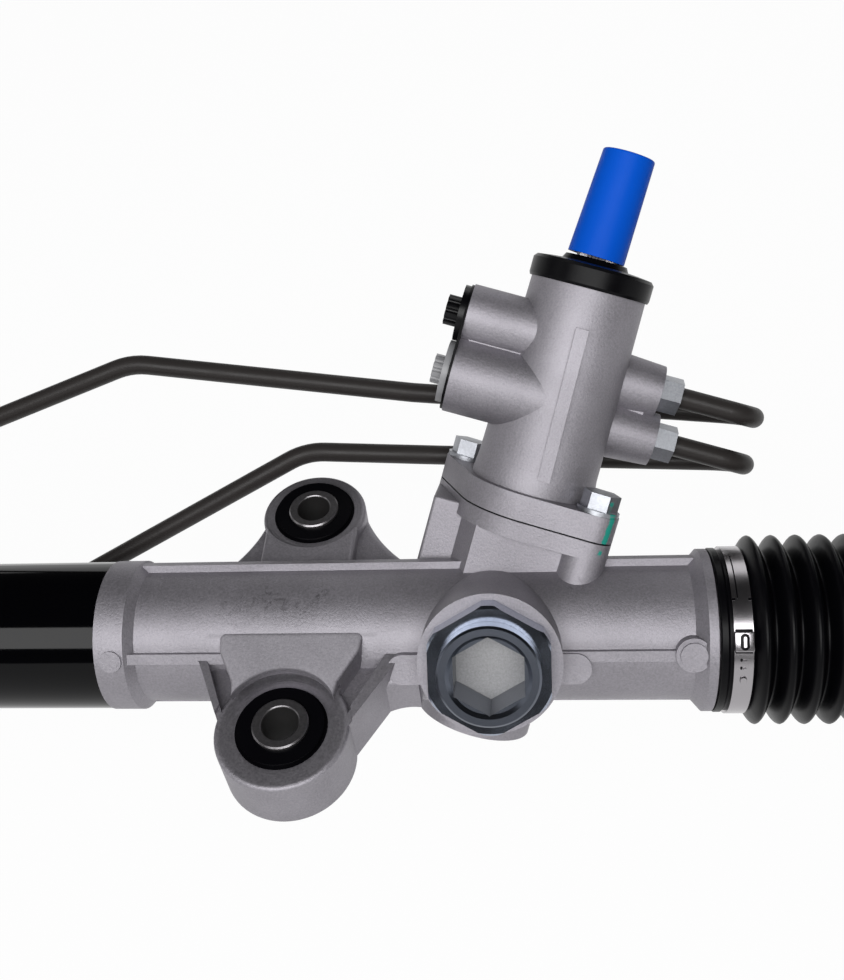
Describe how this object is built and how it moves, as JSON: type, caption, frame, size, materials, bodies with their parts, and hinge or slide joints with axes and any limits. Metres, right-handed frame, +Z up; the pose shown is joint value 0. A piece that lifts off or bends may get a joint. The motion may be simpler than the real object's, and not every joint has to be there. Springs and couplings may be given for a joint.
{
  "type": "steering rack",
  "caption": "Hydraulic rack-and-pinion steering gear with valve tower, transfer pipes, rubber bellows, tie rods and rubber-bushed mounting ears.",
  "frame": {"origin": "midway between the two pinion-side mounting holes, on the plane that the mounting sleeves stand on", "axes": "+X along the rack towards the pinion-side boot, +Z up along the mounting bolts"},
  "size_m": [1.2445, 0.1969, 0.1908],
  "materials": {
    "cast_aluminium": "fine sand-cast, faint purple-grey",
    "machined_aluminium": "machined",
    "black_paint": "gloss black",
    "zinc_steel": "bright zinc plate",
    "steel": "bright, lightly oiled",
    "stainless": "satin stainless band",
    "pipe_coating": "satin brown-black coating",
    "rubber": "matt black",
    "blue_plastic": "bright blue, semi-gloss",
    "black_plastic": "semi-gloss black",
    "grey_plastic": "semi-gloss grey"
  },
  "bodies": {
    "housing": {"rack_housing": "cast_aluminium", "cylinder_tube": "black_paint", "far_bracket": "cast_aluminium", "end_stopper": "machined_aluminium", "rack_bushes": "black_plastic", "rack_seal": "rubber", "bush_rubbers": "rubber", "bush_sleeves": "steel", "rack_guide": "machined_aluminium", "guide_liner": "black_plastic", "guide_spring": "steel", "guide_plug": "zinc_steel", "guide_lock_nut": "zinc_steel", "lower_bearing": "steel", "bottom_cap": "zinc_steel", "main_bearing": "steel", "upper_bearing": "steel", "shaft_seal": "rubber", "dust_cover": "rubber", "valve_housing": "cast_aluminium", "flange_gasket": "rubber", "flange_bolts": "zinc_steel", "flange_washers": "zinc_steel", "port_seal": "rubber", "tube_nuts": "zinc_steel", "far_pipe": "pipe_coating", "near_pipe": "pipe_coating", "boot_clamp_right": "stainless", "boot_clamp_left": "stainless", "boot_right": "rubber", "boot_left": "rubber"},
    "rack": {"rack_bar": "steel", "piston": "machined_aluminium", "piston_ring": "black_plastic", "ball_sockets": "steel", "claw_washers": "steel"},
    "pinion_body": {"pinion": "steel", "pinion_nut": "steel", "torsion_bar": "steel", "valve_sleeve": "steel", "sleeve_rings": "black_plastic"},
    "input": {"input_shaft": "steel"},
    "cap": {"shipping_cap": "blue_plastic"},
    "feed_plug": {"feed_port_plug": "black_plastic"},
    "return_plug": {"return_port_plug": "grey_plastic"},
    "right_seat": {"ball_seat_right": "black_plastic"},
    "left_seat": {"ball_seat_left": "black_plastic"},
    "right_tie_rod": {"tie_rod_right": "steel", "jam_nut_right": "zinc_steel", "boot_clip_right": "stainless"},
    "left_tie_rod": {"tie_rod_left": "steel", "jam_nut_left": "zinc_steel", "boot_clip_left": "stainless"}
  },
  "joints": [
    {"name": "rack_slide", "type": "slide", "parent": "housing", "child": "rack", "axis": [1, 0, 0], "range_m": [-0.07, 0.07], "deforming": ["boot_right", "boot_left"]},
    {"name": "pinion_spin", "type": "hinge", "parent": "housing", "child": "pinion_body", "pos_m": [0.0722, 0.01246, 0.00348], "axis": [0.289, 0.5694, 0.7695], "range_deg": [-545, 545]},
    {"name": "input_twist", "type": "hinge", "parent": "pinion_body", "child": "input", "pos_m": [0.0722, 0.01246, 0.00348], "axis": [0.289, 0.5694, 0.7695], "range_deg": [-5, 5], "stiffness_Nm_per_rad": 20},
    {"name": "cap_pull", "type": "slide", "parent": "input", "child": "cap", "axis": [0.3256, 0.5624, 0.7601], "range_m": [0, 0.045]},
    {"name": "feed_plug_pull", "type": "slide", "parent": "housing", "child": "feed_plug", "axis": [-0.9573, 0.1719, 0.2323], "range_m": [0, 0.02]},
    {"name": "return_plug_pull", "type": "slide", "parent": "housing", "child": "return_plug", "axis": [-0.9573, 0.1719, 0.2323], "range_m": [0, 0.02]},
    {"name": "right_ball_fore_aft", "type": "hinge", "parent": "rack", "child": "right_seat", "pos_m": [0.2615, 0, 0.0127], "axis": [0, 0, 1], "range_deg": [-10, 10], "deforming": ["boot_right"]},
    {"name": "right_ball_lift", "type": "hinge", "parent": "right_seat", "child": "right_tie_rod", "pos_m": [0.2615, 0, 0.0127], "axis": [0, 1, 0], "range_deg": [-20, 20], "deforming": ["boot_right"]},
    {"name": "left_ball_fore_aft", "type": "hinge", "parent": "rack", "child": "left_seat", "pos_m": [-0.453, 0, 0.0127], "axis": [0, 0, 1], "range_deg": [-10, 10], "deforming": ["boot_left"]},
    {"name": "left_ball_lift", "type": "hinge", "parent": "left_seat", "child": "left_tie_rod", "pos_m": [-0.453, 0, 0.0127], "axis": [0, 1, 0], "range_deg": [-20, 20], "deforming": ["boot_left"]}
  ],
  "couplings": [
    {"joint": "pinion_spin", "follows": "rack_slide", "rad_per_m": 134.98}
  ]
}
